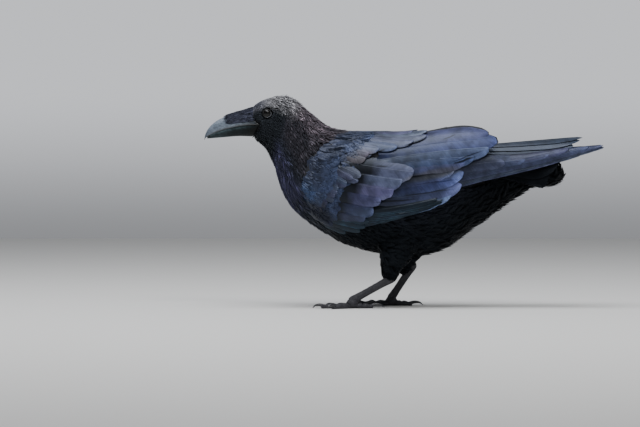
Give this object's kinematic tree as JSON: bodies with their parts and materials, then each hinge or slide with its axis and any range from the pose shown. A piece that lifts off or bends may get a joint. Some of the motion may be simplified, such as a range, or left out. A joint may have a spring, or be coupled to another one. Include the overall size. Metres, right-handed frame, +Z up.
{
  "type": "raven",
  "caption": "Life-size still model of a common raven standing with folded wings, head raised in profile, tail and wing tips out behind.",
  "frame": {"origin": "on the floor, under the middle of the whole bird's box", "axes": "+X towards the tail, -X towards the bill, +Z up, -Y to the bird's left side"},
  "size_m": [0.5595, 0.1438, 0.2957],
  "materials": {
    "head_plumage": "short matt feathers, blue-black with a brown cast on the nape",
    "body_plumage": "soft black feathers with a dull blue gloss",
    "wing_plumage": "smooth overlapping feathers with a blue-violet gloss",
    "bill_horn": "smooth dark slate horn, glossy along the ridge",
    "eye": "wet dark brown",
    "leg_scales": "dark grey scaled skin",
    "claw_horn": "black horn"
  },
  "bodies": {
    "root": {"bill_upper": "bill_horn", "bill_lower": "bill_horn", "eye_left": "eye", "eye_right": "eye", "head": "head_plumage", "neck": "head_plumage", "trunk": "body_plumage", "wing_left_coverts": "wing_plumage", "wing_left_secondaries": "wing_plumage", "wing_left_primaries": "wing_plumage", "wing_right_coverts": "wing_plumage", "wing_right_secondaries": "wing_plumage", "wing_right_primaries": "wing_plumage", "tail": "wing_plumage", "thigh_left": "body_plumage", "shank_left": "leg_scales", "toe_left_middle": "leg_scales", "claw_left_middle": "claw_horn", "toe_left_inner": "leg_scales", "claw_left_inner": "claw_horn", "toe_left_outer": "leg_scales", "claw_left_outer": "claw_horn", "toe_left_hind": "leg_scales", "claw_left_hind": "claw_horn", "thigh_right": "body_plumage", "shank_right": "leg_scales", "toe_right_middle": "leg_scales", "claw_right_middle": "claw_horn", "toe_right_inner": "leg_scales", "claw_right_inner": "claw_horn", "toe_right_outer": "leg_scales", "claw_right_outer": "claw_horn", "toe_right_hind": "leg_scales", "claw_right_hind": "claw_horn"}
  },
  "joints": []
}
